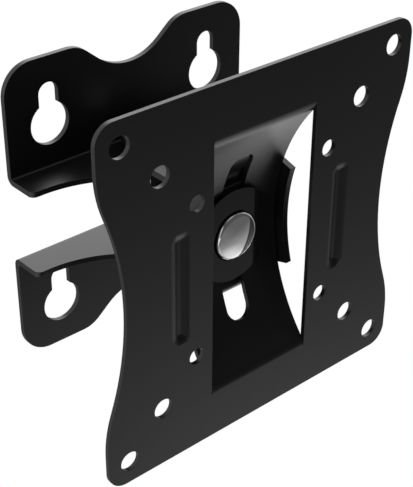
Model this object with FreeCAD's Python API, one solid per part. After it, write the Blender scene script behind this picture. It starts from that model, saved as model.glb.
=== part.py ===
import FreeCAD, Part
import math
import os

os.makedirs("parts", exist_ok=True)

# A small tilting and swivelling wall mount for a flat screen, pressed from sheet steel.
# Frame: the wall is the plane Y = 0 and the screen side faces -Y. X runs to the right and Z up.
# The origin is on the wall, at the middle of the wall bracket. Lengths in mm, angles in degrees.

# Screen plate
standoff = 61.6
plate_size = 115.0
plate_sheet = 1.5
plate_corner_radius = 6.0
waist_depth = 8.0
shoulder_radius = 40.0
shoulder_from_edge = 12.6
large_hole_patterns = (100.0, 75.0)
large_hole_diameter = 6.4
small_hole_pattern = 50.0
small_hole_diameter = 5.2
groove_spacing = 61.4
groove_length = 34.8
groove_width = 5.3
groove_floor_width = 1.3
groove_depth = 1.0
groove_end_corner = 1.3

# Curved strip lanced out of the screen plate, which slides on the arm as the screen tilts
strip_width = 37.8
strip_radius = 60.8
strip_depth = 15.0
strip_bend_radius = 5.5
shear_gap = 0.2
slot_width = 8.6
slot_half_length = 29.0

# Swivel arm
arm_sheet = 2.0
bend_inside_radius = 0.8
lug_span = 44.0
lug_half_width = 18.3
lug_end_radius = 13.0
lug_taper_from_pivot = 16.0
lug_shoulder_radius = 5.0
cheek_gap = 0.4
cheek_height = 5.5
cheek_half_angle = 16.5

# Wall bracket
bracket_sheet = 1.8
bracket_width = 89.8
bracket_height = 98.5
bracket_corner_radius = 9.8
notch_depth = 9.85
notch_radius = 18.5
notch_slope = 39.5
notch_shoulder_radius = 10.0
flange_span = 29.0
flange_reach = 12.45
flange_corner_radius = 2.0
flange_flat_from_side = 3.9
flange_curve_radius = 37.0
flange_curve_angle = 31.6
flange_tip_radius = 6.0
pivot_from_wall = 17.6
pivot_to_bridge = 8.6
keyhole_spacing = 60.0
keyhole_pitch = 62.8
keyhole_rise = 6.4
keyhole_slot_width = 6.75
keyhole_circle_diameter = 13.4
keyhole_run = 9.6

# Pivot hardware, with a bolt of 8 mm
bolt_diameter = 8.0
sleeve_diameter = 12.0
spacer_diameter = 20.0
washer_diameter = 16.0
washer_thickness = 1.6
hex_across_flats = 13.0
hex_head_height = 3.5
lock_nut_hex_height = 6.0
lock_nut_height = 8.0
lock_nut_collar_diameter = 11.6
insert_outer_diameter = 10.2
insert_height = 1.8
bolt_end_past_nut = 1.5

# Tilt hardware
disc_diameter = 30.2
disc_thickness = 2.85
disc_seat_depth = 1.9
tilt_head_diameter = 15.3
tilt_head_stand = 0.8
tilt_head_shoulder_width = 0.75
tilt_head_shoulder_height = 0.45
tilt_head_dome_radius = 35.0
tilt_head_dome_bands = 3
spring_washer_thickness = 2.0
spring_washer_width = 3.0
spring_washer_split = 1.6
thin_nut_height = 5.0
tilt_bolt_end_past_nut = 1.3
liner_thickness = 0.5
liner_half_width = 17.5
liner_half_angle = 14.0

# Clearances
slide_gap = 0.15
running_fit = 0.05
face_gap = 0.05
head_gap = 0.5

# Places that follow from the sizes above
plate_front = -standoff
plate_back = plate_front + plate_sheet
tilt_axis_y = plate_front - (strip_radius - strip_depth)
strip_back_radius = strip_radius + plate_sheet
web_front_radius = strip_back_radius + slide_gap + liner_thickness
web_back_radius = web_front_radius + arm_sheet
pivot_y = -pivot_from_wall
bridge_front = pivot_y - pivot_to_bridge
bore_diameter = bolt_diameter + 2 * running_fit
lug_outer_z = lug_span / 2
lug_inner_z = lug_outer_z - arm_sheet
flange_outer_z = flange_span / 2
flange_inner_z = flange_outer_z - bracket_sheet


def save(name, shape):
    shape.exportStep("parts/" + name + ".step")


def vec(x, y, z):
    return FreeCAD.Vector(x, y, z)


def turned(angle):
    """Cosine and sine of an angle in degrees."""
    return math.cos(math.radians(angle)), math.sin(math.radians(angle))


def line(a, b):
    return Part.LineSegment(a, b).toShape()


def arc(point, start, end):
    """Arc through the points that point(angle) gives, from the start angle to the end angle."""
    return Part.Arc(point(start), point((start + end) / 2), point(end)).toShape()


def face_of(edges):
    return Part.Face(Part.Wire(Part.__sortEdges__(edges)))


def with_mirror(edges, normal):
    return edges + [edge.mirror(vec(0, 0, 0), normal) for edge in edges]


def prism(face, start, end):
    """Solid made by moving a face, drawn at the start point, to the end point."""
    moved = face.copy()
    moved.translate(start)
    return moved.extrude(end - start)


def rod(diameter, start, end):
    """Round bar between two points."""
    return Part.makeCylinder(diameter / 2, (end - start).Length, start, end - start)


def tube(outer, inner, start, end):
    return rod(outer, start, end).cut(rod(inner, start, end))


def circle_xz(x, z, radius):
    """Points of a circle in the wall's plane, by angle from +X towards +Z."""
    def point(angle):
        c, s = turned(angle)
        return vec(x + radius * c, 0, z + radius * s)
    return point


def circle_xy(x, y, radius):
    """Points of a circle in plan, by angle from +X towards +Y."""
    def point(angle):
        c, s = turned(angle)
        return vec(x + radius * c, y + radius * s, 0)
    return point


def circle_yz(y, z, radius):
    """Points of a circle in the side view, by angle from +Y towards +Z."""
    def point(angle):
        c, s = turned(angle)
        return vec(0, y + radius * c, z + radius * s)
    return point


def about_tilt(radius):
    return circle_yz(tilt_axis_y, 0, radius)


def curved_band(inner, outer, half_angle, half_width):
    """Piece of a ring about the tilt axis, as wide as the two half widths."""
    low, high = about_tilt(inner), about_tilt(outer)
    edges = [
        arc(low, -half_angle, half_angle),
        line(low(half_angle), high(half_angle)),
        arc(high, half_angle, -half_angle),
        line(high(-half_angle), low(-half_angle)),
    ]
    return prism(face_of(edges), vec(-half_width, 0, 0), vec(half_width, 0, 0))


def hexagon(across_flats, start, end):
    """Hexagonal bar between two points."""
    axis = end - start
    corners = [circle_xy(0, 0, across_flats / math.sqrt(3))(60 * step) for step in range(7)]
    bar = Part.Face(Part.makePolygon(corners)).extrude(vec(0, 0, axis.Length))
    bar.Placement = FreeCAD.Placement(start, FreeCAD.Rotation(vec(0, 0, 1), axis))
    return bar


def holes_at(pattern, diameter, front, back):
    """Four round cutters on a square pattern."""
    half = pattern / 2
    return [
        rod(diameter, vec(x, front, z), vec(x, back, z))
        for x in (-half, half)
        for z in (-half, half)
    ]


# Screen plate

def plate_outline():
    """Square sheet with round corners, whose two sides curve in to a waist."""
    half = plate_size / 2
    corner = half - plate_corner_radius
    shoulder_z = half - shoulder_from_edge
    shoulder_x = half - shoulder_radius
    inset = shoulder_radius - waist_depth
    waist_radius = (inset ** 2 + shoulder_z ** 2 - shoulder_radius ** 2) / (2 * waist_depth)
    waist_x = half - waist_depth
    tangent_angle = math.degrees(math.atan2(shoulder_z, waist_x + waist_radius - shoulder_x))
    shoulder = circle_xz(shoulder_x, shoulder_z, shoulder_radius)
    waist = circle_xz(waist_x + waist_radius, 0, waist_radius)
    quarter = [
        line(vec(0, 0, half), vec(corner, 0, half)),
        arc(circle_xz(corner, corner, plate_corner_radius), 90, 0),
        line(vec(half, 0, corner), vec(half, 0, shoulder_z)),
        arc(shoulder, 0, -tangent_angle),
        arc(waist, 180 - tangent_angle, 180),
    ]
    right = with_mirror(quarter, vec(0, 0, 1))
    return face_of(with_mirror(right, vec(1, 0, 0)))


def strip_bend():
    """Height of the centre of the strip's end bend, and the angle where it meets the arc."""
    centre_reach = strip_radius + strip_bend_radius
    centre_y = plate_front + strip_bend_radius - tilt_axis_y
    height = math.sqrt(centre_reach ** 2 - centre_y ** 2)
    return height, math.degrees(math.asin(height / centre_reach))


def strip():
    """Side view of the strip: an arc about the tilt axis with a soft bend at each end."""
    height, meet = strip_bend()
    bend_y = plate_front + strip_bend_radius
    outer = circle_yz(bend_y, height, strip_bend_radius)
    inner = circle_yz(bend_y, height, strip_bend_radius - plate_sheet)
    half = [
        line(vec(0, plate_front, height), vec(0, plate_back, height)),
        arc(outer, 180, 180 + meet),
        arc(inner, 180, 180 + meet),
        arc(about_tilt(strip_radius), 0, meet),
        arc(about_tilt(strip_back_radius), 0, meet),
    ]
    side = face_of(with_mirror(half, vec(0, 0, 1)))
    solid = prism(side, vec(-strip_width / 2, 0, 0), vec(strip_width / 2, 0, 0))
    return solid.cut(strip_slot())


def strip_slot():
    """Long slot with round ends, punched square to the curved strip."""
    end_length = slot_half_length - slot_width / 2
    end_angle = math.degrees(end_length / strip_radius)
    low, high = strip_radius - plate_sheet, strip_back_radius + plate_sheet
    cutter = curved_band(low, high, end_angle, slot_width / 2)
    for angle in (-end_angle, end_angle):
        cutter = cutter.fuse(rod(slot_width, about_tilt(low)(angle), about_tilt(high)(angle)))
    return cutter


def groove_outline(x, y, width, length, corner):
    """Outline of a groove at one depth: a long rectangle with its corners cut off."""
    side, end = width / 2, length / 2
    half = [(side, end - corner), (side - corner, end), (corner - side, end), (-side, end - corner)]
    points = [vec(x + px, y, pz) for px, pz in half]
    points += [vec(x - px, y, -pz) for px, pz in half]
    return Part.makePolygon(points + points[:1])


def groove(x, top, spread):
    """Groove with sloping sides and ends; the spread makes the wider bulge behind the sheet."""
    slopes = groove_width - groove_floor_width
    wide, narrow = groove_width + spread, groove_floor_width + spread
    long, short = groove_length + spread, groove_length + spread - slopes
    mouth = groove_outline(x, top, wide, long, groove_end_corner)
    floor = groove_outline(x, top + groove_depth, narrow, short, groove_end_corner * narrow / wide)
    return Part.makeLoft([mouth, floor], True, True)


def screen_plate():
    plate = prism(plate_outline(), vec(0, plate_front, 0), vec(0, plate_back, 0))
    wall_angle = math.atan2(groove_depth, (groove_width - groove_floor_width) / 2)
    spread = 2 * plate_sheet * math.tan(wall_angle / 2)
    for x in (-groove_spacing / 2, groove_spacing / 2):
        plate = plate.fuse(groove(x, plate_back, spread))
        plate = plate.cut(groove(x, plate_front, 0))
    height, _ = strip_bend()
    window_half = strip_width / 2 + shear_gap
    window = Part.makeBox(2 * window_half, plate_sheet, 2 * height, vec(-window_half, plate_front, -height))
    cutters = [window]
    for pattern in large_hole_patterns:
        cutters += holes_at(pattern, large_hole_diameter, plate_front, plate_back)
    cutters += holes_at(small_hole_pattern, small_hole_diameter, plate_front, plate_back)
    plate = plate.cut(cutters)
    return plate.fuse(strip()).removeSplitter()


# Swivel arm

def arm_side():
    """Side view of the arm: curved web, two bends and two lugs that run back to the pivot."""
    outer_bend = bend_inside_radius + arm_sheet
    centre_z = lug_inner_z - bend_inside_radius
    centre_reach = web_front_radius + outer_bend
    meet = math.degrees(math.asin(centre_z / centre_reach))
    centre_y = tilt_axis_y + centre_reach * turned(meet)[0]
    end_y = pivot_y + lug_end_radius
    half = [
        arc(about_tilt(web_front_radius), 0, meet),
        arc(circle_yz(centre_y, centre_z, outer_bend), 180 + meet, 90),
        line(vec(0, centre_y, lug_outer_z), vec(0, end_y, lug_outer_z)),
        line(vec(0, end_y, lug_outer_z), vec(0, end_y, lug_inner_z)),
        line(vec(0, end_y, lug_inner_z), vec(0, centre_y, lug_inner_z)),
        arc(circle_yz(centre_y, centre_z, bend_inside_radius), 90, 180 + meet),
        arc(about_tilt(web_back_radius), 0, meet),
    ]
    side = face_of(with_mirror(half, vec(0, 0, 1)))
    return prism(side, vec(-lug_half_width, 0, 0), vec(lug_half_width, 0, 0))


def lug_plan():
    """Plan of the lugs: straight sides that narrow to a round end about the pivot."""
    corner_reach = math.hypot(lug_half_width, lug_taper_from_pivot)
    corner_angle = math.degrees(math.atan2(-lug_taper_from_pivot, lug_half_width))
    touch = corner_angle + math.degrees(math.acos(lug_end_radius / corner_reach))
    end = circle_xy(0, pivot_y, lug_end_radius)
    corner_y = pivot_y - lug_taper_from_pivot
    half = [
        line(vec(0, tilt_axis_y, 0), vec(lug_half_width, tilt_axis_y, 0)),
        line(vec(lug_half_width, tilt_axis_y, 0), vec(lug_half_width, corner_y, 0)),
        line(vec(lug_half_width, corner_y, 0), end(touch)),
        arc(end, touch, 90),
    ]
    plan = face_of(with_mirror(half, vec(1, 0, 0)))
    solid = prism(plan, vec(0, 0, -lug_span), vec(0, 0, lug_span))
    corners = [
        edge for edge in solid.Edges
        if abs(abs(edge.CenterOfMass.x) - lug_half_width) < running_fit
        and abs(edge.CenterOfMass.y - corner_y) < running_fit
    ]
    return solid.makeFillet(lug_shoulder_radius, corners)


def arm_channel():
    """Middle of the web with its two side cheeks, bent forward round the strip's edges."""
    cheek_inside = strip_width / 2 + cheek_gap
    cheek_outside = cheek_inside + arm_sheet
    bend_x = cheek_inside - bend_inside_radius
    bend_reach = web_front_radius - bend_inside_radius
    cheek_front = tilt_axis_y + web_front_radius - cheek_height
    front_y = tilt_axis_y + web_front_radius
    back_y = tilt_axis_y + web_back_radius
    bend_y = tilt_axis_y + bend_reach
    half = [
        line(vec(0, back_y, 0), vec(bend_x, back_y, 0)),
        arc(circle_xy(bend_x, bend_y, bend_inside_radius + arm_sheet), 90, 0),
        line(vec(cheek_outside, bend_y, 0), vec(cheek_outside, cheek_front, 0)),
        line(vec(cheek_outside, cheek_front, 0), vec(cheek_inside, cheek_front, 0)),
        line(vec(cheek_inside, cheek_front, 0), vec(cheek_inside, bend_y, 0)),
        arc(circle_xy(bend_x, bend_y, bend_inside_radius), 0, 90),
        line(vec(bend_x, front_y, 0), vec(0, front_y, 0)),
    ]
    section = face_of(with_mirror(half, vec(1, 0, 0)))
    axis = vec(0, tilt_axis_y, 0)
    section.rotate(axis, vec(1, 0, 0), -cheek_half_angle)
    return section.revolve(axis, vec(1, 0, 0), 2 * cheek_half_angle)


def swivel_arm():
    arm = arm_side().common(lug_plan()).fuse(arm_channel())
    web_back = tilt_axis_y + web_back_radius
    web_hole = rod(bore_diameter, vec(0, web_back - 2 * arm_sheet, 0), vec(0, web_back + arm_sheet, 0))
    lug_holes = rod(bore_diameter, vec(0, pivot_y, -lug_span), vec(0, pivot_y, lug_span))
    return arm.cut([web_hole, lug_holes]).removeSplitter()


# Wall bracket

def bracket_side():
    """Side view of the upper half: wall plate, flange bent forward, and bridge bent down."""
    inside = bend_inside_radius
    outside = inside + bracket_sheet
    top = bracket_height / 2
    bridge_back = bridge_front + bracket_sheet
    wall_bend = (-outside, flange_outer_z + inside)
    bridge_bend = (bridge_front + outside, flange_outer_z - outside)
    half = [
        line(vec(0, bridge_front, 0), vec(0, bridge_front, bridge_bend[1])),
        arc(circle_yz(bridge_bend[0], bridge_bend[1], outside), 180, 90),
        line(vec(0, bridge_bend[0], flange_outer_z), vec(0, wall_bend[0], flange_outer_z)),
        arc(circle_yz(wall_bend[0], wall_bend[1], inside), 270, 360),
        line(vec(0, -bracket_sheet, wall_bend[1]), vec(0, -bracket_sheet, top)),
        line(vec(0, -bracket_sheet, top), vec(0, 0, top)),
        line(vec(0, 0, top), vec(0, 0, wall_bend[1])),
        arc(circle_yz(wall_bend[0], wall_bend[1], outside), 360, 270),
        line(vec(0, wall_bend[0], flange_inner_z), vec(0, bridge_bend[0], flange_inner_z)),
        arc(circle_yz(bridge_bend[0], bridge_bend[1], inside), 90, 180),
        line(vec(0, bridge_back, bridge_bend[1]), vec(0, bridge_back, 0)),
    ]
    side = face_of(with_mirror(half, vec(0, 0, 1)))
    return prism(side, vec(-bracket_width / 2, 0, 0), vec(bracket_width / 2, 0, 0))


def bracket_front():
    """Front view of the wall bracket, with a shallow notch in its top and bottom edges."""
    half_width = bracket_width / 2
    top = bracket_height / 2
    c, s = turned(notch_slope)
    notch_z = top - notch_depth + notch_radius
    slope_start = vec(notch_radius * s, 0, notch_z - notch_radius * c)
    slope_end_z = top - notch_shoulder_radius * (1 - c)
    slope_end = vec(slope_start.x + (slope_end_z - slope_start.z) * c / s, 0, slope_end_z)
    shoulder_x = slope_end.x + notch_shoulder_radius * s
    shoulder_z = top - notch_shoulder_radius
    corner_x = half_width - bracket_corner_radius
    corner_z = top - bracket_corner_radius
    quarter = [
        arc(circle_xz(0, notch_z, notch_radius), 270, 270 + notch_slope),
        line(slope_start, slope_end),
        arc(circle_xz(shoulder_x, shoulder_z, notch_shoulder_radius), 90 + notch_slope, 90),
        line(vec(shoulder_x, 0, top), vec(corner_x, 0, top)),
        arc(circle_xz(corner_x, corner_z, bracket_corner_radius), 90, 0),
        line(vec(half_width, 0, corner_z), vec(half_width, 0, 0)),
    ]
    right = with_mirror(quarter, vec(0, 0, 1))
    face = face_of(with_mirror(right, vec(1, 0, 0)))
    return prism(face, vec(0, -standoff, 0), vec(0, 0, 0))


def bracket_plan():
    """Plan of the flanges: short at the sides, then curving forward to the narrow bridge."""
    half_width = bracket_width / 2
    flat_x = half_width - flange_flat_from_side
    corner_x = half_width - flange_corner_radius
    corner_y = -flange_reach + flange_corner_radius
    curve_y = -flange_reach - flange_curve_radius
    c, s = turned(flange_curve_angle)
    slope_start = vec(flat_x - flange_curve_radius * s, curve_y + flange_curve_radius * c, 0)
    tip_drop = flange_tip_radius * (1 - c)
    slope_end_y = bridge_front + tip_drop
    slope_end = vec(slope_start.x - (slope_start.y - slope_end_y) * c / s, slope_end_y, 0)
    tip_x = slope_end.x - flange_tip_radius * s
    tip = circle_xy(tip_x, bridge_front + flange_tip_radius, flange_tip_radius)
    half = [
        line(vec(0, 0, 0), vec(half_width, 0, 0)),
        line(vec(half_width, 0, 0), vec(half_width, corner_y, 0)),
        arc(circle_xy(corner_x, corner_y, flange_corner_radius), 0, -90),
        line(vec(corner_x, -flange_reach, 0), vec(flat_x, -flange_reach, 0)),
        arc(circle_xy(flat_x, curve_y, flange_curve_radius), 90, 90 + flange_curve_angle),
        line(slope_start, slope_end),
        arc(tip, 270 + flange_curve_angle, 270),
        line(vec(tip_x, bridge_front, 0), vec(0, bridge_front, 0)),
    ]
    plan = face_of(with_mirror(half, vec(1, 0, 0)))
    return prism(plan, vec(0, 0, -bracket_height), vec(0, 0, bracket_height))


def keyhole(x, slot_z):
    """Screw slot with its round entry hole below it."""
    circle_z = slot_z - keyhole_run
    front, back = vec(0, -2 * bracket_sheet, 0), vec(0, bracket_sheet, 0)
    entry = rod(keyhole_circle_diameter, vec(x, 0, circle_z) + front, vec(x, 0, circle_z) + back)
    top = rod(keyhole_slot_width, vec(x, 0, slot_z) + front, vec(x, 0, slot_z) + back)
    corner = vec(x - keyhole_slot_width / 2, front.y, circle_z)
    neck = Part.makeBox(keyhole_slot_width, back.y - front.y, keyhole_run, corner)
    return entry.fuse([top, neck])


def wall_bracket():
    bracket = bracket_side().common(bracket_front()).common(bracket_plan())
    cutters = [rod(bore_diameter, vec(0, pivot_y, -flange_span), vec(0, pivot_y, flange_span))]
    for x in (-keyhole_spacing / 2, keyhole_spacing / 2):
        for z in (keyhole_rise - keyhole_pitch / 2, keyhole_rise + keyhole_pitch / 2):
            cutters.append(keyhole(x, z))
    return bracket.cut(cutters).removeSplitter()


# Pivot hardware

def at_pivot(z):
    return vec(0, pivot_y, z)


def pivot_sleeve():
    return tube(sleeve_diameter, bore_diameter, at_pivot(-flange_inner_z), at_pivot(flange_inner_z))


def swivel_spacer(side):
    start = at_pivot(side * flange_outer_z)
    end = at_pivot(side * (lug_inner_z - face_gap))
    return tube(spacer_diameter, bore_diameter, start, end)


def swivel_washer(side):
    start = at_pivot(side * (lug_outer_z + face_gap))
    end = at_pivot(side * (lug_outer_z + face_gap + washer_thickness))
    return tube(washer_diameter, bore_diameter, start, end)


def swivel_bolt():
    """Hexagon bolt put in from above."""
    head_z = lug_outer_z + face_gap + washer_thickness
    end_z = -(head_z + lock_nut_height + bolt_end_past_nut)
    head = hexagon(hex_across_flats, at_pivot(head_z), at_pivot(head_z + hex_head_height))
    return head.fuse(rod(bolt_diameter, at_pivot(end_z), at_pivot(head_z)))


def swivel_lock_nut():
    """Hexagon nut with a round collar, which holds the nylon insert."""
    top_z = -(lug_outer_z + face_gap + washer_thickness)
    hex_end = top_z - lock_nut_hex_height
    end = top_z - lock_nut_height
    nut = hexagon(hex_across_flats, at_pivot(top_z), at_pivot(hex_end))
    nut = nut.fuse(rod(lock_nut_collar_diameter, at_pivot(end), at_pivot(hex_end)))
    nut = nut.cut(rod(bore_diameter, at_pivot(end), at_pivot(top_z)))
    return nut.cut(rod(insert_outer_diameter, at_pivot(end), at_pivot(end + insert_height)))


def swivel_nut_insert():
    end = -(lug_outer_z + face_gap + washer_thickness + lock_nut_height)
    return tube(insert_outer_diameter, bore_diameter, at_pivot(end), at_pivot(end + insert_height))


# Tilt hardware

strip_front_y = tilt_axis_y + strip_radius
disc_back_radius = strip_radius - slide_gap
disc_front_y = tilt_axis_y + disc_back_radius - disc_thickness
disc_seat_y = disc_front_y + disc_seat_depth
web_back_y = tilt_axis_y + web_back_radius
tilt_washer_end = web_back_y + washer_thickness
spring_washer_end = tilt_washer_end + spring_washer_thickness
tilt_nut_end = spring_washer_end + thin_nut_height


def pressure_disc():
    """Round pad in front of the strip, flat in front and curved behind to slide on the strip."""
    blank = rod(disc_diameter, vec(0, disc_front_y, 0), vec(0, strip_front_y, 0))
    hollow = Part.makeCylinder(disc_back_radius, disc_diameter, vec(-disc_diameter / 2, tilt_axis_y, 0), vec(1, 0, 0))
    disc = blank.common(hollow)
    seat = rod(tilt_head_diameter + 2 * head_gap, vec(0, disc_front_y, 0), vec(0, disc_seat_y, 0))
    bore = rod(bore_diameter, vec(0, disc_front_y, 0), vec(0, strip_front_y, 0))
    return disc.cut([seat, bore])


def friction_liner():
    """Thin curved sheet between the strip and the web of the arm."""
    liner = curved_band(strip_back_radius + slide_gap, web_front_radius, liner_half_angle, liner_half_width)
    hole = rod(bore_diameter, vec(0, strip_front_y, 0), vec(0, web_back_y, 0))
    return liner.cut(hole)


def tilt_head_dome(face_y):
    """Side view of the head's low dome from its edge to its middle, in a few straight bands."""
    edge_angle = math.asin((tilt_head_diameter / 2 - tilt_head_shoulder_width) / tilt_head_dome_radius)
    centre_y = face_y + tilt_head_dome_radius * math.cos(edge_angle)
    dome = circle_xy(0, centre_y, tilt_head_dome_radius)
    steps = [1 - band / tilt_head_dome_bands for band in range(tilt_head_dome_bands + 1)]
    return [dome(math.degrees(edge_angle) * step - 90) for step in steps]


def tilt_bolt():
    """Bolt with a low domed head, which goes back through the disc, the strip and the arm."""
    head, shank = tilt_head_diameter / 2, bolt_diameter / 2
    shoulder_y = disc_front_y - tilt_head_stand
    end_y = tilt_nut_end + tilt_bolt_end_past_nut
    outline = [
        vec(0, end_y, 0),
        vec(shank, end_y, 0),
        vec(shank, disc_seat_y, 0),
        vec(head, disc_seat_y, 0),
        vec(head, shoulder_y, 0),
    ]
    outline += tilt_head_dome(shoulder_y - tilt_head_shoulder_height)
    return Part.Face(Part.makePolygon(outline + outline[:1])).revolve(vec(0, 0, 0), vec(0, 1, 0), 360)


def tilt_flat_washer():
    return tube(washer_diameter, bore_diameter, vec(0, web_back_y, 0), vec(0, tilt_washer_end, 0))


def tilt_spring_washer():
    """Split ring of square wire."""
    outer = bore_diameter + 2 * spring_washer_width
    ring = tube(outer, bore_diameter, vec(0, tilt_washer_end, 0), vec(0, spring_washer_end, 0))
    corner = vec(-spring_washer_split / 2, tilt_washer_end, 0)
    return ring.cut(Part.makeBox(spring_washer_split, spring_washer_thickness, outer, corner))


def tilt_nut():
    nut = hexagon(hex_across_flats, vec(0, spring_washer_end, 0), vec(0, tilt_nut_end, 0))
    return nut.cut(rod(bore_diameter, vec(0, spring_washer_end, 0), vec(0, tilt_nut_end, 0)))


save("wall_bracket", wall_bracket())
save("pivot_sleeve", pivot_sleeve())
save("swivel_bolt", swivel_bolt())
save("swivel_lock_nut", swivel_lock_nut())
save("swivel_nut_insert", swivel_nut_insert())
for level, side in (("upper", 1), ("lower", -1)):
    save(level + "_swivel_spacer", swivel_spacer(side))
    save(level + "_swivel_washer", swivel_washer(side))
save("swivel_arm", swivel_arm())
save("friction_liner", friction_liner())
save("pressure_disc", pressure_disc())
save("tilt_bolt", tilt_bolt())
save("tilt_flat_washer", tilt_flat_washer())
save("tilt_spring_washer", tilt_spring_washer())
save("tilt_nut", tilt_nut())
save("screen_plate", screen_plate())
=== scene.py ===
import math

import bpy
from mathutils import Matrix, Vector


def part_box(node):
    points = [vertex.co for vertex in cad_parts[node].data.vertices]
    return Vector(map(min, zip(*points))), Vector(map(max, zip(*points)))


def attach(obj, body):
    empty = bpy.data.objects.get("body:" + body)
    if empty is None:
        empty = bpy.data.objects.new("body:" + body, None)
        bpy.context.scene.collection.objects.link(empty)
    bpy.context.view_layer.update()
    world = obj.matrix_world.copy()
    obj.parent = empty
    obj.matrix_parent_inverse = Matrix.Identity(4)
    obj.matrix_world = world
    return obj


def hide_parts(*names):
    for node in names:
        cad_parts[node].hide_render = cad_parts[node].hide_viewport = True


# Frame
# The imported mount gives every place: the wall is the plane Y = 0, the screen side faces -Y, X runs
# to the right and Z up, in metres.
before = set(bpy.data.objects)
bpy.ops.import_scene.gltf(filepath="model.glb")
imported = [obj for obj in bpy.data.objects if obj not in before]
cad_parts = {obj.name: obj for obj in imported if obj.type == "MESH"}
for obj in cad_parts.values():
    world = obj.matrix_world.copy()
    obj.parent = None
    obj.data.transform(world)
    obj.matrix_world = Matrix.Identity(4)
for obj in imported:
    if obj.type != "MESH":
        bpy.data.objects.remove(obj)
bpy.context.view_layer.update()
bpy.ops.object.select_all(action="DESELECT")
MM = 0.001

# Camera
# It stands in front of the mount, to its left and above it, and looks down at the pressure disc.
# A long lens keeps the sides of the plate nearly parallel.
camera_place = Vector((-209.7, -274.5, 185.7)) * MM
camera_aim = Vector((0.5643, 0.6389, -0.5228))
camera_roll = math.radians(0.42)
sensor_height = 36.0
lens_length = 90.7

bpy.ops.object.camera_add(location=camera_place)
camera = bpy.context.object
camera.name = "camera"
camera.rotation_mode = "QUATERNION"
camera_turn = camera_aim.to_track_quat("-Z", "Y")
camera.rotation_quaternion = camera_turn @ Matrix.Rotation(camera_roll, 4, "Z").to_quaternion()
camera.data.sensor_width = sensor_height
camera.data.lens = lens_length
camera.data.clip_start = 10 * MM
bpy.context.scene.camera = camera
bpy.context.scene.view_settings.view_transform = "Standard"
camera.select_set(False)

# Floor
# It is plain and pale and lies well below the mount, so the shadow falls outside the picture. The
# camera sees it plain white. What mirrors it sees it dim towards the front, the right and the back,
# with one pool of light under the mount, one before it and one on the far left.
floor_drop = 0.9
floor_size = 8.0
floor_dim = 0.16
floor_bright = 0.58
front_fade = (-1.7, 0.0)
right_fade = (0.65, 1.4)
right_shade = 0.72
back_fade = (0.3, 1.1)
back_shade = 0.45
mount_pool = (0.7, 0.0, 0.0)
mount_pool_fade = (0.15, 0.75)
mount_pool_light = 1.15
front_pool = (0.55, -0.75, 0.0)
front_pool_fade = (0.05, 0.45)
front_pool_light = 0.3
left_pool_fade = (-0.75, -1.2)
left_pool_light = 0.8


def light_fade(nodes, ends, first, second):
    """Smooth change from one strength of light to another between two places or directions."""
    fade = nodes.new("ShaderNodeMapRange")
    fade.interpolation_type = "SMOOTHSTEP"
    fade.inputs["From Min"].default_value = ends[0]
    fade.inputs["From Max"].default_value = ends[1]
    fade.inputs["To Min"].default_value = first
    fade.inputs["To Max"].default_value = second
    return fade


def combined(owner, operation, first, second):
    """Output of a material or world that combines two other outputs."""
    node = owner.node_tree.nodes.new("ShaderNodeMath")
    node.operation = operation
    owner.node_tree.links.new(first, node.inputs[0])
    owner.node_tree.links.new(second, node.inputs[1])
    return node.outputs["Value"]


def light_pool(material, place, middle, ends, strength):
    """Round pool of light on the floor, which fades out with the distance from its middle."""
    nodes, links = material.node_tree.nodes, material.node_tree.links
    reach = nodes.new("ShaderNodeVectorMath")
    reach.operation = "DISTANCE"
    reach.inputs[1].default_value = middle
    pool = light_fade(nodes, ends, strength, 0.0)
    links.new(place, reach.inputs[0])
    links.new(reach.outputs["Value"], pool.inputs["Value"])
    return pool.outputs["Result"]


def white_to_camera(material, shader_output):
    """Shows a material as plain white to the camera only."""
    nodes, links = material.node_tree.nodes, material.node_tree.links
    white = nodes.new("ShaderNodeEmission")
    path = nodes.new("ShaderNodeLightPath")
    mix = nodes.new("ShaderNodeMixShader")
    links.new(path.outputs["Is Camera Ray"], mix.inputs["Fac"])
    links.new(shader_output, mix.inputs[1])
    links.new(white.outputs["Emission"], mix.inputs[2])
    links.new(mix.outputs["Shader"], nodes["Material Output"].inputs["Surface"])


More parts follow.
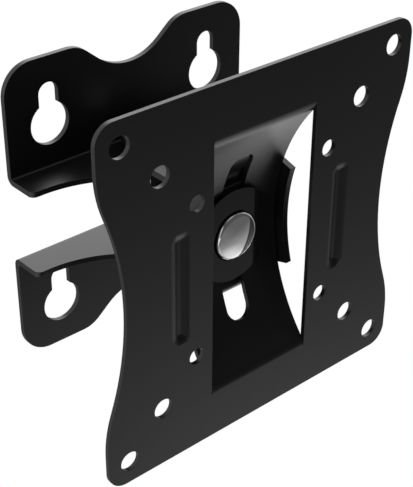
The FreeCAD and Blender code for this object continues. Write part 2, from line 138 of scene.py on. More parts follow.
def pale_floor():
    """Floor that is white to the camera, pale to soft light and graded to what mirrors it."""
    material = bpy.data.materials.new("pale_floor")
    material.use_nodes = True
    nodes, links = material.node_tree.nodes, material.node_tree.links
    shader = nodes["Principled BSDF"]
    shader.inputs["Base Color"].default_value = (0.8, 0.8, 0.79, 1)
    shader.inputs["Roughness"].default_value = 0.8
    place = nodes.new("ShaderNodeTexCoord")
    parts = nodes.new("ShaderNodeSeparateXYZ")
    to_front = light_fade(nodes, front_fade, floor_dim, floor_bright)
    to_right = light_fade(nodes, right_fade, 1.0, right_shade)
    to_back = light_fade(nodes, back_fade, 1.0, back_shade)
    to_left = light_fade(nodes, left_pool_fade, 0.0, left_pool_light)
    spot = place.outputs["Object"]
    under_mount = light_pool(material, spot, mount_pool, mount_pool_fade, mount_pool_light)
    before_mount = light_pool(material, spot, front_pool, front_pool_fade, front_pool_light)
    links.new(spot, parts.inputs["Vector"])
    for fade, side in ((to_front, "Y"), (to_back, "Y"), (to_right, "X"), (to_left, "X")):
        links.new(parts.outputs[side], fade.inputs["Value"])
    light = combined(material, "MULTIPLY", to_front.outputs["Result"], to_right.outputs["Result"])
    light = combined(material, "ADD", light, to_left.outputs["Result"])
    light = combined(material, "MULTIPLY", light, to_back.outputs["Result"])
    light = combined(material, "ADD", light, under_mount)
    light = combined(material, "ADD", light, before_mount)
    mirrored = nodes.new("ShaderNodeEmission")
    path = nodes.new("ShaderNodeLightPath")
    mix = nodes.new("ShaderNodeMixShader")
    links.new(light, mirrored.inputs["Strength"])
    links.new(path.outputs["Is Glossy Ray"], mix.inputs["Fac"])
    links.new(shader.outputs["BSDF"], mix.inputs[1])
    links.new(mirrored.outputs["Emission"], mix.inputs[2])
    white_to_camera(material, mix.outputs["Shader"])
    return material


bpy.ops.mesh.primitive_plane_add(size=floor_size, location=(0, 0, -floor_drop))
floor = bpy.context.object
floor.name = "floor"
floor.data.materials.append(pale_floor())
floor.select_set(False)

# Studio light
# The room is dark in front and bright overhead, behind and on the left, as a tent that is open
# towards the camera. One soft lamp stands behind on the right and makes the upper edges shine.
room_front = 0.075
room_back = 1.0
room_left = 0.6
backward_fade = (-0.6, 0.4)
upward_fade = (0.7, 1.0)
leftward_fade = (-0.35, -0.7)
back_lamp_place = Vector((0.85, 0.96, 0.78))
back_lamp_size = 1.2
back_lamp_power = 7.8


def studio_room():
    """World that is plain white to the camera and a soft studio to everything else."""
    world = bpy.data.worlds.new("studio")
    world.use_nodes = True
    nodes, links = world.node_tree.nodes, world.node_tree.links
    room = nodes["Background"]
    direction = nodes.new("ShaderNodeTexCoord")
    parts = nodes.new("ShaderNodeSeparateXYZ")
    backward = light_fade(nodes, backward_fade, room_front, room_back)
    upward = light_fade(nodes, upward_fade, 0.0, room_back)
    leftward = light_fade(nodes, leftward_fade, 0.0, room_left)
    white = nodes.new("ShaderNodeBackground")
    white.inputs["Color"].default_value = (1, 1, 1, 1)
    path = nodes.new("ShaderNodeLightPath")
    mix = nodes.new("ShaderNodeMixShader")
    links.new(direction.outputs["Generated"], parts.inputs["Vector"])
    links.new(parts.outputs["Y"], backward.inputs["Value"])
    links.new(parts.outputs["Z"], upward.inputs["Value"])
    links.new(parts.outputs["X"], leftward.inputs["Value"])
    light = combined(world, "MAXIMUM", backward.outputs["Result"], upward.outputs["Result"])
    light = combined(world, "MAXIMUM", light, leftward.outputs["Result"])
    links.new(light, room.inputs["Color"])
    links.new(path.outputs["Is Camera Ray"], mix.inputs["Fac"])
    links.new(room.outputs["Background"], mix.inputs[1])
    links.new(white.outputs["Background"], mix.inputs[2])
    links.new(mix.outputs["Shader"], nodes["World Output"].inputs["Surface"])
    return world


bpy.context.scene.world = studio_room()
bpy.ops.object.light_add(type="AREA", location=back_lamp_place)
back_lamp = bpy.context.object
back_lamp.name = "back_lamp"
back_lamp.rotation_euler = (-back_lamp_place).to_track_quat("-Z", "Y").to_euler()
back_lamp.data.size = back_lamp_size
back_lamp.data.energy = back_lamp_power
back_lamp.select_set(False)


# Wall bracket
# One steel sheet cut out and bent to a hat section, with two wall plates, two flanges and a bridge.
# Its edges are deburred and it is powder coated black. Four screws in the keyholes hold it.
bracket_edge = 0.08 * MM
sheet_shading = math.radians(24)
flat_within = math.radians(0.4)
same_point = 0.001 * MM


def powder_coat(name, roughness=0.38):
    """Semi-gloss black powder coat: nearly smooth, with a fine orange peel and faint specks."""
    material = bpy.data.materials.new(name)
    material.use_nodes = True
    nodes, links = material.node_tree.nodes, material.node_tree.links
    shader = nodes["Principled BSDF"]
    shader.inputs["IOR"].default_value = 1.5
    place = nodes.new("ShaderNodeTexCoord")
    grain = nodes.new("ShaderNodeTexNoise")
    grain.inputs["Scale"].default_value = 1400
    grain.inputs["Detail"].default_value = 2
    shade = nodes.new("ShaderNodeValToRGB")
    shade.color_ramp.elements[0].color = (0.0036, 0.0036, 0.0037, 1)
    shade.color_ramp.elements[1].color = (0.0064, 0.0064, 0.0066, 1)
    gloss = nodes.new("ShaderNodeMapRange")
    gloss.inputs["To Min"].default_value = roughness - 0.04
    gloss.inputs["To Max"].default_value = roughness + 0.04
    peel = nodes.new("ShaderNodeTexNoise")
    peel.inputs["Scale"].default_value = 500
    relief = nodes.new("ShaderNodeBump")
    relief.inputs["Strength"].default_value = 0.05
    relief.inputs["Distance"].default_value = 0.05 * MM
    links.new(place.outputs["Object"], grain.inputs["Vector"])
    links.new(place.outputs["Object"], peel.inputs["Vector"])
    links.new(grain.outputs["Fac"], shade.inputs["Fac"])
    links.new(shade.outputs["Color"], shader.inputs["Base Color"])
    links.new(grain.outputs["Fac"], gloss.inputs["Value"])
    links.new(gloss.outputs["Result"], shader.inputs["Roughness"])
    links.new(peel.outputs["Fac"], relief.inputs["Height"])
    links.new(relief.outputs["Normal"], shader.inputs["Normal"])
    return material


def in_region(piece, part, region):
    """Tells whether all corners of an edge or a face lie in a region."""
    corners = [piece.data.vertices[index].co for index in part.vertices]
    return region is not None and all(region(corner) for corner in corners)


def sheet_copy(node, name, left_alone=None):
    """Copy of a sheet node, active and selected, with its triangles merged to whole faces.

    Faces whose corners are all at a place that is left alone stay as they are.
    """
    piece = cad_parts[node].copy()
    piece.data = piece.data.copy()
    piece.name = name
    piece.parent = None
    for key in list(piece.keys()):
        del piece[key]
    bpy.context.scene.collection.objects.link(piece)
    piece.select_set(True)
    bpy.context.view_layer.objects.active = piece
    bpy.ops.object.mode_set(mode="EDIT")
    bpy.ops.mesh.select_all(action="SELECT")
    bpy.ops.mesh.customdata_custom_splitnormals_clear()
    bpy.ops.mesh.remove_doubles(threshold=same_point)
    bpy.ops.mesh.select_mode(type="FACE")
    bpy.ops.object.mode_set(mode="OBJECT")
    for face in piece.data.polygons:
        face.select = not in_region(piece, face, left_alone)
    bpy.ops.object.mode_set(mode="EDIT")
    bpy.ops.mesh.dissolve_limited(angle_limit=flat_within)
    bpy.ops.object.mode_set(mode="OBJECT")
    return piece


def round_edges(piece, width, segments=4, sharper_than=40, left_alone=None):
    """Rounds a piece's sharp edges, but for those that are left alone, and shades it smooth."""
    bpy.ops.object.mode_set(mode="EDIT")
    bpy.ops.mesh.select_mode(type="EDGE")
    bpy.ops.mesh.select_all(action="DESELECT")
    bpy.ops.mesh.edges_select_sharp(sharpness=math.radians(sharper_than))
    bpy.ops.object.mode_set(mode="OBJECT")
    for edge in piece.data.edges:
        edge.select = edge.select and not in_region(piece, edge, left_alone)
    bpy.ops.object.mode_set(mode="EDIT")
    bpy.ops.mesh.bevel(offset=width, segments=segments, affect="EDGES", clamp_overlap=True)
    bpy.ops.object.mode_set(mode="OBJECT")
    bpy.ops.object.shade_smooth_by_angle(angle=sheet_shading)
    flats = piece.modifiers.new("flats", "WEIGHTED_NORMAL")
    flats.keep_sharp = True
    bpy.ops.object.modifier_apply(modifier=flats.name)


def finish_piece(piece, body, material, *nodes):
    """Gives a piece its finish and its body, and lets it stand for its nodes."""
    piece.data.materials.clear()
    piece.data.materials.append(material)
    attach(piece, body)
    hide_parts(*nodes)
    piece.select_set(False)


bracket = sheet_copy("wall_bracket", "bracket_sheet")
round_edges(bracket, bracket_edge)
finish_piece(bracket, "bracket", powder_coat("bracket_coat"), "wall_bracket")


# Pivot sleeve
# A plain steel tube between the two flanges, round the pivot bolt, which keeps the flanges from
# being pulled together. It is turned, zinc plated and chamfered at both ends.
tube_chamfer = 0.3 * MM
bore_radius = 4.05 * MM
turning_steps = 96
turned_shading = math.radians(35)
upright_turn = Matrix.Identity(3)
backward_turn = Matrix.Rotation(math.radians(-90), 3, "X")


def zinc_plate(name):
    """Zinc plated steel: grey and satin, slightly cloudy, with fine turning marks."""
    material = bpy.data.materials.new(name)
    material.use_nodes = True
    nodes, links = material.node_tree.nodes, material.node_tree.links
    shader = nodes["Principled BSDF"]
    shader.inputs["Metallic"].default_value = 1
    place = nodes.new("ShaderNodeTexCoord")
    cloud = nodes.new("ShaderNodeTexNoise")
    cloud.inputs["Scale"].default_value = 260
    cloud.inputs["Detail"].default_value = 5
    shade = nodes.new("ShaderNodeValToRGB")
    shade.color_ramp.elements[0].color = (0.46, 0.47, 0.49, 1)
    shade.color_ramp.elements[1].color = (0.66, 0.66, 0.66, 1)
    gloss = nodes.new("ShaderNodeMapRange")
    gloss.inputs["To Min"].default_value = 0.3
    gloss.inputs["To Max"].default_value = 0.45
    links.new(place.outputs["Object"], cloud.inputs["Vector"])
    links.new(cloud.outputs["Fac"], shade.inputs["Fac"])
    links.new(shade.outputs["Color"], shader.inputs["Base Color"])
    links.new(cloud.outputs["Fac"], gloss.inputs["Value"])
    links.new(gloss.outputs["Result"], shader.inputs["Roughness"])
    return material


def turned_piece(name, outline, upright, middle, closed=False, steps=turning_steps):
    """Piece turned on a lathe, active and selected.

    The outline is a list of (radius, place) along the axis, which is upright or runs back to the
    wall, through the middle. A closed outline makes a ring, and an open one is capped at its ends.
    """
    turn = upright_turn if upright else backward_turn

    def on_axis(place):
        """Point on the axis at a place along it."""
        return middle + turn @ Vector((0, 0, place))

    radius, place = outline[0]
    bpy.ops.mesh.primitive_circle_add(
        vertices=steps,
        radius=radius,
        fill_type="NOTHING" if closed else "NGON",
        location=on_axis(place),
        rotation=turn.to_euler(),
    )
    piece = bpy.context.object
    piece.name = name
    bpy.ops.object.transform_apply(location=True, rotation=True, scale=True)
    bpy.ops.object.mode_set(mode="EDIT")
    for next_radius, next_place in outline[1:] + (outline[:1] if closed else []):
        step = turn @ Vector((0, 0, next_place - place))
        bpy.ops.mesh.extrude_edges_move(TRANSFORM_OT_translate={"value": step})
        scale = next_radius / radius
        bpy.ops.transform.resize(value=(scale, scale, scale), center_override=on_axis(next_place))
        radius, place = next_radius, next_place
    if not closed:
        bpy.ops.mesh.edge_face_add()
    bpy.ops.mesh.select_all(action="SELECT")
    bpy.ops.mesh.remove_doubles(threshold=same_point)
    bpy.ops.mesh.normals_make_consistent(inside=False)
    bpy.ops.object.mode_set(mode="OBJECT")
    bpy.ops.object.shade_smooth_by_angle(angle=turned_shading)
    return piece


def ring_outline(bore, outer, start, end, chamfer):
    """Outline of a ring with chamfered outer edges, from its bore outwards."""
    return [
        (bore, start),
        (outer - chamfer, start),
        (outer, start + chamfer),
        (outer, end - chamfer),
        (outer - chamfer, end),
        (bore, end),
    ]


zinc = zinc_plate("zinc_plate")
lowest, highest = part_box("pivot_sleeve")
pivot = (lowest + highest) / 2
sleeve_radius = (highest.x - lowest.x) / 2
sleeve = turned_piece(
    "sleeve_tube",
    ring_outline(bore_radius, sleeve_radius, lowest.z, highest.z, tube_chamfer),
    True,
    pivot,
    closed=True,
)
finish_piece(sleeve, "bracket", zinc, "pivot_sleeve")


# Swivel spacers
# Two black nylon rings between the flanges and the lugs of the arm. The arm turns on them, and
# the pivot bolt presses them, so they hold it where it is set.
spacer_chamfer = 0.5 * MM


def matt_nylon(name, dark, light, roughness):
    """Moulded nylon with a faint grain."""
    material = bpy.data.materials.new(name)
    material.use_nodes = True
    nodes, links = material.node_tree.nodes, material.node_tree.links
    shader = nodes["Principled BSDF"]
    place = nodes.new("ShaderNodeTexCoord")
    grain = nodes.new("ShaderNodeTexNoise")
    grain.inputs["Scale"].default_value = 900
    grain.inputs["Detail"].default_value = 4
    shade = nodes.new("ShaderNodeValToRGB")
    shade.color_ramp.elements[0].color = dark
    shade.color_ramp.elements[1].color = light
    relief = nodes.new("ShaderNodeBump")
    relief.inputs["Strength"].default_value = 0.2
    relief.inputs["Distance"].default_value = 0.04 * MM
    shader.inputs["Roughness"].default_value = roughness
    links.new(place.outputs["Object"], grain.inputs["Vector"])
    links.new(grain.outputs["Fac"], shade.inputs["Fac"])
    links.new(shade.outputs["Color"], shader.inputs["Base Color"])
    links.new(grain.outputs["Fac"], relief.inputs["Height"])
    links.new(relief.outputs["Normal"], shader.inputs["Normal"])
    return material


black_nylon = matt_nylon("black_nylon", (0.018, 0.018, 0.018, 1), (0.034, 0.034, 0.034, 1), 0.55)
for level in ("upper", "lower"):
    node = level + "_swivel_spacer"
    lowest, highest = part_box(node)
    spacer_radius = (highest.x - lowest.x) / 2
    spacer = turned_piece(
        level + "_nylon_ring",
        ring_outline(bore_radius, spacer_radius, lowest.z, highest.z, spacer_chamfer),
        True,
        Vector((0, pivot.y, 0)),
        closed=True,
    )
    finish_piece(spacer, "bracket", black_nylon, node)


# Swivel washers
# Two punched steel washers, one under the pivot bolt's head and one over the lock nut. Punching
# leaves their outer edges a little round. They are zinc plated.
washer_chamfer = 0.25 * MM
bolt_radius = 4 * MM

for level in ("upper", "lower"):
    node = level + "_swivel_washer"
    lowest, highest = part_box(node)
    washer_radius = (highest.x - lowest.x) / 2
    washer = turned_piece(
        level + "_pivot_washer",
        ring_outline(bore_radius, washer_radius, lowest.z, highest.z, washer_chamfer),
        True,
        Vector((0, pivot.y, 0)),
        closed=True,
    )
    finish_piece(washer, "bracket", zinc, node)


# Pivot bolt
# A forged hexagon bolt of 8 mm, put in from above through both lugs, rings and flanges. Its head
# has chamfered corners and a round washer face, and its lower end has a rolled thread.
across_flats = 13 * MM
hex_chamfer_slope = math.tan(math.radians(30))
cutter_over = 0.05 * MM
cutter_steps = 95
hex_face_inset = 0.3 * MM
washer_face_height = 0.3 * MM
thread_pitch = 1.25 * MM
thread_depth = 0.62 * MM
thread_sunk = 0.1 * MM
thread_width = 0.96 * thread_pitch
thread_lead_in = 0.8 * MM
pivot_thread_length = 12 * MM
hexagon_shading = math.radians(25)


def cut_piece(piece, cutter, operation):
    """Cuts a piece with another one, which is used up, or keeps only what they share."""
    cut = piece.modifiers.new("cut", "BOOLEAN")
    cut.operation = operation
    cut.solver = "EXACT"
    cut.object = cutter
    cutter.select_set(False)
    bpy.context.view_layer.objects.active = piece
    bpy.ops.object.modifier_apply(modifier=cut.name)
    bpy.data.objects.remove(cutter, do_unlink=True)
    piece.select_set(True)


def hexagon_bar(name, start, end, upright, middle, chamfer_start, chamfer_end):
    """Hexagonal bar along an axis, with its corners chamfered at one end or at both.

    The chamfers' cutter reaches a little past the bar and has an odd number of steps. No edge of
    one lies on the other then, and the cut comes out the same each run.
    """
    turn = upright_turn if upright else backward_turn
    corner = across_flats / math.sqrt(3)
    bpy.ops.mesh.primitive_cylinder_add(
        vertices=6,
        radius=corner,
        depth=end - start,
        location=middle + turn @ Vector((0, 0, (start + end) / 2)),
        rotation=(turn @ Matrix.Rotation(math.radians(30), 3, "Z")).to_euler(),
    )
    bar = bpy.context.object
    bar.name = name
    bpy.ops.object.transform_apply(location=True, rotation=True, scale=True)
    bar.select_set(False)
    narrow = across_flats / 2 - hex_face_inset - cutter_over / hex_chamfer_slope
    wide = corner + cutter_over
    rise = (wide - narrow) * hex_chamfer_slope
    low, high = start - cutter_over, end + cutter_over
    outline = [(narrow, low), (wide, low + rise)] if chamfer_start else [(wide, low)]
    outline += [(wide, high - rise), (narrow, high)] if chamfer_end else [(wide, high)]
    chamfer = turned_piece("chamfer", outline, upright, middle, steps=cutter_steps)
    cut_piece(bar, chamfer, "INTERSECT")
    return bar


def thread(name, start, turns, upright, middle):
    """Rolled thread: one ridge of triangular section, wound round the shank."""
    turn = upright_turn if upright else backward_turn
    bpy.ops.mesh.primitive_circle_add(
        vertices=3, radius=1, rotation=(math.radians(90), math.radians(90), 0)
    )
    ridge = bpy.context.object
    ridge.name = name
    bpy.ops.object.transform_apply(location=True, rotation=True, scale=True)
    reach = max(vertex.co.x for vertex in ridge.data.vertices)
    width = max(vertex.co.z for vertex in ridge.data.vertices)
    depth = thread_depth + thread_sunk
    bpy.ops.object.mode_set(mode="EDIT")
    bpy.ops.transform.resize(
        value=(depth / (reach * 1.5), 1, thread_width / (2 * width)), center_override=(0, 0, 0)
    )
    bpy.ops.transform.translate(value=(bolt_radius - depth / 1.5, 0, 0))
    bpy.ops.object.mode_set(mode="OBJECT")
    winding = ridge.modifiers.new("winding", "SCREW")
    winding.axis = "Z"
    winding.angle = math.radians(360)
    winding.screw_offset = thread_pitch
    winding.iterations = turns
    winding.steps = winding.render_steps = turning_steps // 2
    bpy.ops.object.modifier_apply(modifier=winding.name)
    bpy.ops.object.mode_set(mode="EDIT")
    bpy.ops.mesh.select_all(action="SELECT")
    bpy.ops.mesh.fill_holes(sides=3)
    bpy.ops.mesh.select_all(action="SELECT")
    bpy.ops.mesh.normals_make_consistent(inside=False)
    bpy.ops.object.mode_set(mode="OBJECT")
    ridge.matrix_world = (
        Matrix.Translation(middle) @ turn.to_4x4() @ Matrix.Translation((0, 0, start))
    )
    bpy.ops.object.transform_apply(location=True, rotation=True, scale=True)
    return ridge


def joined(piece, *others):
    """Joins other pieces to a piece, which stays active and selected."""
    for other in others:
        other.select_set(True)
    piece.select_set(True)
    bpy.context.view_layer.objects.active = piece
    bpy.ops.object.join()
    return piece


lowest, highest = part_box("swivel_bolt")
head_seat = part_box("upper_swivel_washer")[1].z
axis_point = Vector((0, pivot.y, 0))
bolt_head = hexagon_bar(
    "pivot_bolt", head_seat + washer_face_height, highest.z, True, axis_point, False, True
)
bolt_head.select_set(False)
root_radius = bolt_radius - thread_depth
thread_top = lowest.z + pivot_thread_length
shank = turned_piece(
    "shank",
    [
        (root_radius - thread_lead_in / 2, lowest.z),
        (root_radius, lowest.z + thread_lead_in / 2),
        (root_radius, thread_top),
        (bolt_radius, thread_top + thread_depth),
        (bolt_radius, head_seat),
        (across_flats / 2 - hex_face_inset, head_seat),
        (across_flats / 2 - hex_face_inset, head_seat + 2 * washer_face_height),
    ],
    True,
    axis_point,
)
shank.select_set(False)
thread_turns = int(pivot_thread_length / thread_pitch) - 1
ridge = thread("ridge", lowest.z + thread_lead_in, thread_turns, True, axis_point)
pivot_bolt = joined(bolt_head, shank, ridge)
bpy.ops.object.shade_smooth_by_angle(angle=hexagon_shading)
finish_piece(pivot_bolt, "bracket", zinc, "swivel_bolt")


# Lock nut
# A hexagon nut with a rolled collar that grips a nylon ring. The ring holds the bolt's thread, so
# the pivot doesn't come loose as the arm is turned.
countersink = 0.6 * MM
collar_radius = 5.8 * MM
collar_height = 2 * MM
collar_rounding = 0.45 * MM


def bored(piece, start, end, upright, middle):
    """Bores a nut and countersinks both ends."""
    over = 0.01 * MM
    piece.select_set(False)
    bore = turned_piece(
        "bore",
        [
            (bore_radius + countersink, start - over),
            (bore_radius, start + countersink),
            (bore_radius, end - countersink),
            (bore_radius + countersink, end + over),
        ],
        upright,
        middle,
    )
    cut_piece(piece, bore, "DIFFERENCE")


lowest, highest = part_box("swivel_lock_nut")
insert_low, insert_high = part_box("swivel_nut_insert")
insert_radius = (insert_high.x - insert_low.x) / 2
hex_low = lowest.z + collar_height
lock_nut = hexagon_bar("lock_nut", hex_low, highest.z, True, axis_point, True, False)
bored(lock_nut, hex_low, highest.z, True, axis_point)
lock_nut.select_set(False)
collar = turned_piece(
    "collar",
    [
        (bore_radius + countersink, insert_high.z),
        (insert_radius, insert_high.z),
        (insert_radius, lowest.z + collar_rounding / 2),
        (insert_radius + collar_rounding / 2, lowest.z),
        (collar_radius - collar_rounding, lowest.z),
        (collar_radius - collar_rounding / 3, lowest.z + collar_rounding / 3),
        (collar_radius, lowest.z + collar_rounding),
        (collar_radius, hex_low + collar_rounding),
        (bore_radius + countersink, hex_low + collar_rounding),
    ],
    True,
    axis_point,
    closed=True,
)
lock_nut = joined(lock_nut, collar)
bpy.ops.object.shade_smooth_by_angle(angle=hexagon_shading)
finish_piece(lock_nut, "bracket", zinc, "swivel_lock_nut")


# Nut insert
# The ring of natural nylon inside the lock nut's collar, seen from below round the bolt's end. The
# bolt cuts its own thread in it, and its grip keeps the nut from turning.
insert_chamfer = 0.2 * MM

natural_nylon = matt_nylon("natural_nylon", (0.74, 0.73, 0.68, 1), (0.84, 0.83, 0.78, 1), 0.45)
insert = turned_piece(
    "nylon_insert",
    ring_outline(bore_radius, insert_radius, insert_low.z, insert_high.z, insert_chamfer),
    True,
    axis_point,
    closed=True,
)
finish_piece(insert, "bracket", natural_nylon, "swivel_nut_insert")


# Swivel arm
# A second steel sheet, bent back to two lugs at the pivot and forward to two cheeks, which guide
# the edges of the curved strip. It is deburred and powder coated like the bracket.
arm_edge = 0.08 * MM

arm = sheet_copy("swivel_arm", "arm_sheet")
round_edges(arm, arm_edge)
finish_piece(arm, "arm", powder_coat("arm_coat"), "swivel_arm")


# Friction liner
# A thin sheet of dull fibre between the strip and the arm, bent to the strip's curve. It keeps the
# tilt where it is set and spares the coat of both sheets.
liner_edge = 0.08 * MM

liner = sheet_copy("friction_liner", "liner_sheet")
round_edges(liner, liner_edge, segments=2)
liner_fibre = matt_nylon("liner_fibre", (0.02, 0.02, 0.02, 1), (0.06, 0.06, 0.06, 1), 0.85)
finish_piece(liner, "arm", liner_fibre, "friction_liner")


# Pressure disc
# A moulded pad of glossy black nylon, flat in front and hollow behind to lie on the curved strip.
# The tilt bolt's head sits in its round recess and presses it on the strip.
disc_edge = 0.12 * MM


def gloss_nylon(name):
    """Polished black nylon, as smooth as its mould, with a few faint streaks."""
    material = bpy.data.materials.new(name)
    material.use_nodes = True
    nodes, links = material.node_tree.nodes, material.node_tree.links
    shader = nodes["Principled BSDF"]
    shader.inputs["IOR"].default_value = 1.5
    place = nodes.new("ShaderNodeTexCoord")
    streak = nodes.new("ShaderNodeTexNoise")
    streak.inputs["Scale"].default_value = 300
    streak.inputs["Detail"].default_value = 3
    shade = nodes.new("ShaderNodeValToRGB")
    shade.color_ramp.elements[0].color = (0.0024, 0.0024, 0.0024, 1)
    shade.color_ramp.elements[1].color = (0.0038, 0.0038, 0.0039, 1)
    gloss = nodes.new("ShaderNodeMapRange")
    gloss.inputs["To Min"].default_value = 0.03
    gloss.inputs["To Max"].default_value = 0.09
    links.new(place.outputs["Object"], streak.inputs["Vector"])
    links.new(streak.outputs["Fac"], shade.inputs["Fac"])
    links.new(shade.outputs["Color"], shader.inputs["Base Color"])
    links.new(streak.outputs["Fac"], gloss.inputs["Value"])
    links.new(gloss.outputs["Result"], shader.inputs["Roughness"])
    return material


disc = sheet_copy("pressure_disc", "disc_pad")
round_edges(disc, disc_edge)
finish_piece(disc, "arm", gloss_nylon("disc_black"), "pressure_disc")


# Tilt bolt
# A bolt with a low domed head, plated with bright nickel. Its rim has fine upright ridges, and its
# thread runs back through disc, strip, liner and arm to the tilt nut.
disc_seat_depth = 1.9 * MM
dome_radius = 35 * MM
dome_steps = 12
dome_middle = 0.05 * MM
shoulder_width = 1.1 * MM
shoulder_slope = math.radians(62)
shoulder_steps = 8
rim_ridges = 72
rim_ridge_depth = 0.12 * MM
tilt_thread_length = 9 * MM
same_place = 0.01 * MM
origin = Vector((0, 0, 0))


def bright_nickel(name):
    """Bright nickel plate: a near mirror with the faintest polishing haze."""
    material = bpy.data.materials.new(name)
    material.use_nodes = True
    nodes, links = material.node_tree.nodes, material.node_tree.links
    shader = nodes["Principled BSDF"]
    shader.inputs["Metallic"].default_value = 1
    place = nodes.new("ShaderNodeTexCoord")
    haze = nodes.new("ShaderNodeTexNoise")
    haze.inputs["Scale"].default_value = 500
    haze.inputs["Detail"].default_value = 4
    shade = nodes.new("ShaderNodeValToRGB")
    shade.color_ramp.elements[0].color = (0.9, 0.9, 0.9, 1)
    shade.color_ramp.elements[1].color = (0.96, 0.96, 0.96, 1)
    gloss = nodes.new("ShaderNodeMapRange")
    gloss.inputs["To Min"].default_value = 0.03
    gloss.inputs["To Max"].default_value = 0.07
    links.new(place.outputs["Object"], haze.inputs["Vector"])
    links.new(haze.outputs["Fac"], shade.inputs["Fac"])
    links.new(shade.outputs["Color"], shader.inputs["Base Color"])
    links.new(haze.outputs["Fac"], gloss.inputs["Value"])
    links.new(gloss.outputs["Result"], shader.inputs["Roughness"])
    return material


def domed_head(front, head_radius, seat):
    """Outline of the head from the middle of its dome round its shoulder to its seat."""
    face_radius = head_radius - shoulder_width
    dome_slope = math.asin(face_radius / dome_radius)
    shoulder_radius = shoulder_width / (math.sin(shoulder_slope) - math.sin(dome_slope))
    face = front + dome_radius * (1 - math.cos(dome_slope))
    outline = []
    for step in range(dome_steps + 1):
        radius = max(face_radius * step / dome_steps, dome_middle)
        outline.append((radius, front + dome_radius - math.sqrt(dome_radius**2 - radius**2)))
    for step in range(1, shoulder_steps + 1):
        slope = dome_slope + (shoulder_slope - dome_slope) * step / shoulder_steps
        radius = face_radius + shoulder_radius * (math.sin(slope) - math.sin(dome_slope))
        outline.append((radius, face + shoulder_radius * (math.cos(dome_slope) - math.cos(slope))))
    return outline + [(head_radius, seat)]


lowest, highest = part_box("tilt_bolt")
head_radius = (highest.x - lowest.x) / 2
head_seat_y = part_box("pressure_disc")[0].y + disc_seat_depth
thread_front = highest.y - tilt_thread_length
tilt_outline = domed_head(lowest.y, head_radius, head_seat_y) + [
    (bolt_radius, head_seat_y),
    (bolt_radius, thread_front - thread_depth),
    (root_radius, thread_front),
    (root_radius, highest.y - thread_lead_in / 2),
    (root_radius - thread_lead_in / 2, highest.y),
]
tilt_bolt = turned_piece("tilt_screw", tilt_outline, False, origin, steps=2 * rim_ridges)
bpy.ops.object.mode_set(mode="EDIT")
bpy.ops.mesh.select_mode(type="VERT")
bpy.ops.mesh.select_all(action="DESELECT")
bpy.ops.object.mode_set(mode="OBJECT")
ridge_angle = math.pi / rim_ridges
for vertex in tilt_bolt.data.vertices:
    on_rim = abs(math.hypot(vertex.co.x, vertex.co.z) - head_radius) < same_place
    step_number = round(math.atan2(vertex.co.z, vertex.co.x) / ridge_angle)
    vertex.select = on_rim and step_number % 2 == 1
bpy.ops.object.mode_set(mode="EDIT")
ridge_scale = 1 - rim_ridge_depth / head_radius
bpy.ops.transform.resize(value=(ridge_scale, 1, ridge_scale), center_override=(0, 0, 0))
bpy.ops.object.mode_set(mode="OBJECT")
tilt_bolt.select_set(False)
thread_turns = int(tilt_thread_length / thread_pitch) - 1
ridge = thread("ridge", thread_front + thread_pitch / 2, thread_turns, False, origin)
tilt_bolt = joined(tilt_bolt, ridge)
bpy.ops.object.shade_smooth_by_angle(angle=hexagon_shading)
finish_piece(tilt_bolt, "arm", bright_nickel("bright_nickel"), "tilt_bolt")


# Tilt washer
# A punched and zinc plated steel washer behind the arm's web. It spreads the press of the spring
# washer and the nut.
lowest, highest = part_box("tilt_flat_washer")
flat_washer = turned_piece(
    "tilt_washer",
    ring_outline(bore_radius, (highest.x - lowest.x) / 2, lowest.y, highest.y, washer_chamfer),
    False,
    origin,
    closed=True,
)
finish_piece(flat_washer, "arm", zinc, "tilt_flat_washer")


# Spring washer
# A split ring of square steel wire, wound to a slight helix, that keeps the tilt nut tight.
spring_rise = 0.25 * MM
spring_edge = 0.15 * MM
spring_split = 1.6 * MM

lowest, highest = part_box("tilt_spring_washer")
wire_outer = (highest.x - lowest.x) / 2
wire_thickness = highest.y - lowest.y - spring_rise
wire_middle = (wire_outer + bore_radius) / 2
split_angle = spring_split / wire_middle
bpy.ops.mesh.primitive_circle_add(
    vertices=4, radius=math.sqrt(0.5), rotation=(0, 0, math.radians(45))
)
spring = bpy.context.object
spring.name = "spring_washer"
bpy.ops.object.transform_apply(location=True, rotation=True, scale=True)
bpy.ops.object.mode_set(mode="EDIT")
bpy.ops.transform.resize(
    value=(wire_outer - bore_radius, wire_thickness, 1), center_override=(0, 0, 0)
)
bpy.ops.transform.rotate(value=math.radians(90), orient_axis="X", center_override=(0, 0, 0))
bpy.ops.transform.translate(value=(wire_middle, 0, 0))
bpy.ops.object.mode_set(mode="OBJECT")
winding = spring.modifiers.new("winding", "SCREW")
winding.axis = "Z"
winding.angle = math.radians(360) - split_angle
winding.screw_offset = spring_rise
winding.steps = winding.render_steps = turning_steps
bpy.ops.object.modifier_apply(modifier=winding.name)
bpy.ops.object.mode_set(mode="EDIT")
bpy.ops.mesh.select_all(action="SELECT")
bpy.ops.mesh.fill_holes(sides=4)
bpy.ops.mesh.select_all(action="SELECT")
bpy.ops.mesh.normals_make_consistent(inside=False)
bpy.ops.object.mode_set(mode="OBJECT")
spring.matrix_world = (
    Matrix.Translation((0, lowest.y + wire_thickness / 2, 0))
    @ Matrix.Rotation(math.radians(-90), 4, "X")
    @ Matrix.Rotation(math.radians(-90) + split_angle / 2, 4, "Z")
)
bpy.ops.object.transform_apply(location=True, rotation=True, scale=True)
round_edges(spring, spring_edge, segments=2, sharper_than=60)
finish_piece(spring, "arm", zinc, "tilt_spring_washer")


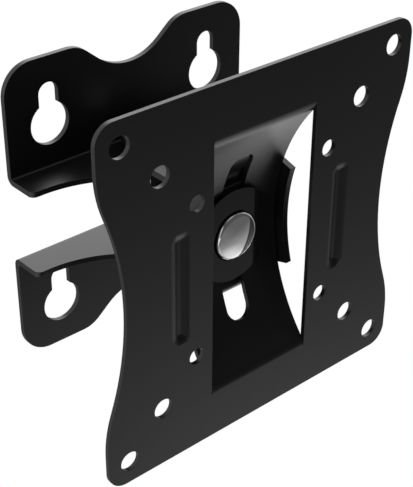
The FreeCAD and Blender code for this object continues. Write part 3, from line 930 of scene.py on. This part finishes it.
# Tilt nut
# A thin hexagon nut, chamfered on both sides and zinc plated, tightened with a spanner.
lowest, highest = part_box("tilt_nut")
tilt_nut = hexagon_bar("thin_nut", lowest.y, highest.y, False, origin, True, True)
bored(tilt_nut, lowest.y, highest.y, False, origin)
bpy.ops.object.shade_smooth_by_angle(angle=hexagon_shading)
finish_piece(tilt_nut, "arm", zinc, "tilt_nut")


# Screen plate
# One steel sheet, punched with three squares of screw holes, pressed with two long grooves and
# lanced down the middle. The lanced strip is bent back to an arc, on which the screen tilts.
plate_thickness = 1.5 * MM
plate_edge = 0.08 * MM
groove_place = 30.7 * MM
groove_reach = 4.6 * MM
groove_half_length = 20 * MM
groove_roll = 0.9 * MM
groove_roll_steps = 5
strip_half_width = 18.91 * MM
strip_front = -61.58 * MM
plate_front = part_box("screen_plate")[0].y


def in_strip(place):
    """Tells the lanced strip with its two bends, cut sharp, from the flat plate around it."""
    return abs(place.x) < strip_half_width and place.y > strip_front


def in_groove(place):
    """Tells the two pressed grooves from the rest of the plate."""
    return abs(abs(place.x) - groove_place) < groove_reach and abs(place.z) < groove_half_length


def on_front_rim(place):
    """Tells the rim of a pressed groove on the plate's front."""
    return in_groove(place) and abs(place.y - plate_front) < same_place


def on_back_rim(place):
    """Tells the rim of a pressed groove on the plate's back."""
    return in_groove(place) and abs(place.y - plate_front - plate_thickness) < same_place


plate = sheet_copy("screen_plate", "plate_sheet", in_strip)
bpy.ops.object.mode_set(mode="EDIT")
bpy.ops.mesh.select_mode(type="EDGE")
bpy.ops.mesh.select_all(action="DESELECT")
bpy.ops.object.mode_set(mode="OBJECT")
for edge in plate.data.edges:
    edge.select = in_region(plate, edge, on_front_rim) or in_region(plate, edge, on_back_rim)
bpy.ops.object.mode_set(mode="EDIT")
bpy.ops.mesh.bevel(offset=groove_roll, segments=groove_roll_steps, affect="EDGES")
bpy.ops.object.mode_set(mode="OBJECT")
round_edges(plate, plate_edge, left_alone=in_strip)
finish_piece(plate, "plate", powder_coat("plate_coat"), "screen_plate")
